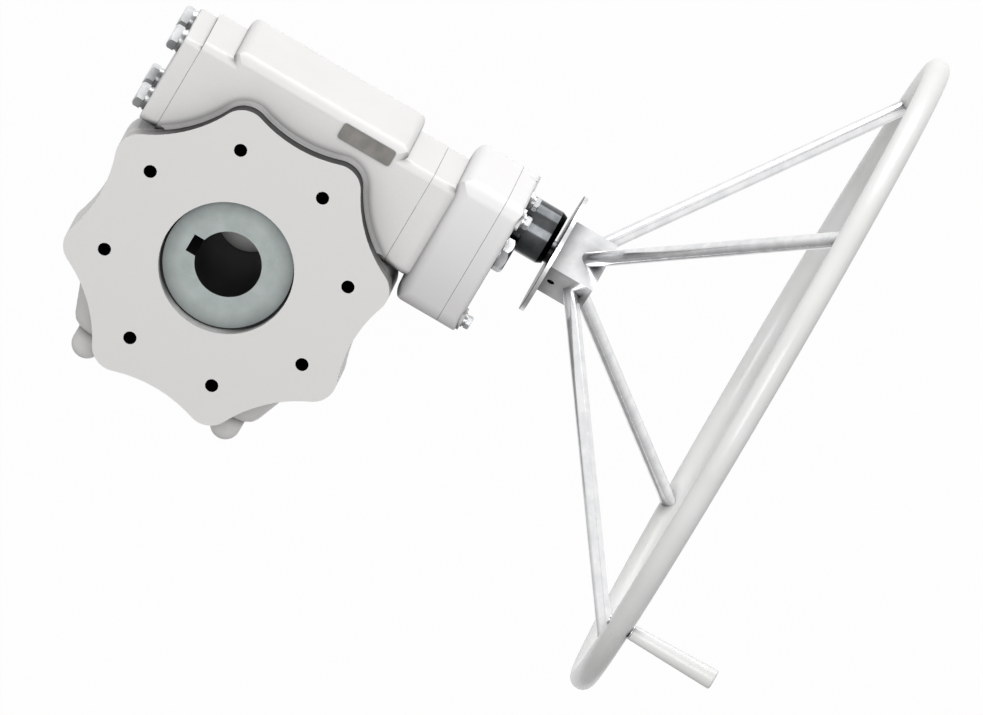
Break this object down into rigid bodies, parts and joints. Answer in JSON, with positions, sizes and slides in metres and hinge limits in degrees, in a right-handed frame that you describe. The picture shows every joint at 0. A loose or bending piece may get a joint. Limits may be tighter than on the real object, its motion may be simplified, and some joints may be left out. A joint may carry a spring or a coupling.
{
  "type": "valve gear operator",
  "caption": "Quarter-turn worm gear operator with a lobed valve flange, keyed drive sleeve, spur reduction stage and spoked handwheel with a spinner handle.",
  "frame": {"origin": "centre of the valve mounting face, on the drive axis", "axes": "+Z from the mounting face into the gearbox, +X along the worm and input shafts towards the handwheel, -Y towards the worm"},
  "size_m": [0.8103, 0.7476, 0.7475],
  "materials": {
    "housing_paint": "satin paint on cast iron",
    "wheel_paint": "semi-gloss paint on steel tube",
    "sleeve_iron": "finely turned",
    "polished_steel": "turned and polished",
    "bolt_steel": "bright zinc plate",
    "washer_steel": "zinc plate",
    "gear_steel": "hobbed and ground",
    "bearing_steel": "ground",
    "black_screw_steel": "blackened",
    "bronze": "machined",
    "seal_rubber": "matt",
    "gasket_fibre": "matt fibre sheet",
    "plate_alloy": "blasted"
  },
  "bodies": {
    "operator_body": {"main_housing": "housing_paint", "top_cover": "housing_paint", "top_cover_gasket": "gasket_fibre", "top_cover_bolts": "bolt_steel", "lower_sleeve_bush": "bronze", "upper_sleeve_bush": "bronze", "lower_sleeve_seal": "seal_rubber", "upper_sleeve_seal": "seal_rubber", "sleeve_thrust_washer": "bronze", "worm_end_cover": "housing_paint", "end_cover_gasket": "gasket_fibre", "end_cover_bolts": "bolt_steel", "end_cover_washers": "washer_steel", "worm_bearing_rear_outer": "bearing_steel", "worm_bearing_front_outer": "bearing_steel", "reduction_housing": "housing_paint", "reduction_housing_screws": "black_screw_steel", "reduction_gasket": "gasket_fibre", "reduction_cover": "housing_paint", "reduction_cover_bolts": "bolt_steel", "reduction_cover_washers": "washer_steel", "reduction_cover_screws": "black_screw_steel", "worm_access_plug": "bolt_steel", "input_carrier": "polished_steel", "carrier_lock_screw": "black_screw_steel", "input_front_bush": "bronze", "input_tail_bush": "bronze", "input_shaft_seal": "seal_rubber", "rating_plate": "plate_alloy", "stop_cap_left": "housing_paint", "stop_cap_right": "housing_paint", "stop_seal_washers": "bronze"},
    "worm_train": {"worm_shaft": "gear_steel", "worm_bearing_rear_inner": "bearing_steel", "worm_bearing_front_inner": "bearing_steel", "worm_bearing_balls": "bearing_steel", "spur_gear": "gear_steel", "spur_gear_key": "gear_steel", "spur_gear_ring": "black_screw_steel"},
    "drive_train": {"drive_sleeve": "sleeve_iron", "worm_wheel": "bronze", "worm_wheel_screws": "black_screw_steel", "position_pointer": "housing_paint", "pointer_screws": "black_screw_steel"},
    "handwheel": {"input_shaft": "polished_steel", "hub_key": "gear_steel", "handwheel_disc": "polished_steel", "handwheel_hub": "polished_steel", "hub_set_screw": "black_screw_steel", "spoke_1": "polished_steel", "spoke_2": "polished_steel", "spoke_3": "polished_steel", "spoke_4": "polished_steel", "handwheel_rim": "wheel_paint", "handle_pin": "polished_steel"},
    "handle": {"handle_grip": "wheel_paint"},
    "left_stop": {"stop_screw_left": "black_screw_steel"},
    "right_stop": {"stop_screw_right": "black_screw_steel"}
  },
  "joints": [
    {"name": "handwheel_turn", "type": "hinge", "parent": "operator_body", "child": "handwheel", "pos_m": [0.3, -0.15, 0.12943], "axis": [1, 0, 0], "range_deg": [0, 7560]},
    {"name": "worm_turn", "type": "hinge", "parent": "operator_body", "child": "worm_train", "pos_m": [0, -0.135, 0.087], "axis": [1, 0, 0], "range_deg": [-3780, 0]},
    {"name": "drive_turn", "type": "hinge", "parent": "operator_body", "child": "drive_train", "pos_m": [0, 0, 0.1], "axis": [0, 0, 1], "range_deg": [0, 90]},
    {"name": "handle_spin", "type": "hinge", "parent": "handwheel", "child": "handle", "pos_m": [0.59, 0.06625, -0.15964], "axis": [1, 0, 0], "continuous": true},
    {"name": "left_stop_set", "type": "slide", "parent": "operator_body", "child": "left_stop", "axis": [0, 1, 0], "range_m": [0, 0.008]},
    {"name": "right_stop_set", "type": "slide", "parent": "operator_body", "child": "right_stop", "axis": [0, 1, 0], "range_m": [0, 0.008]}
  ],
  "couplings": [
    {"joint": "worm_turn", "follows": "handwheel_turn", "ratio": -0.5},
    {"joint": "drive_turn", "follows": "handwheel_turn", "ratio": 0.011905}
  ]
}
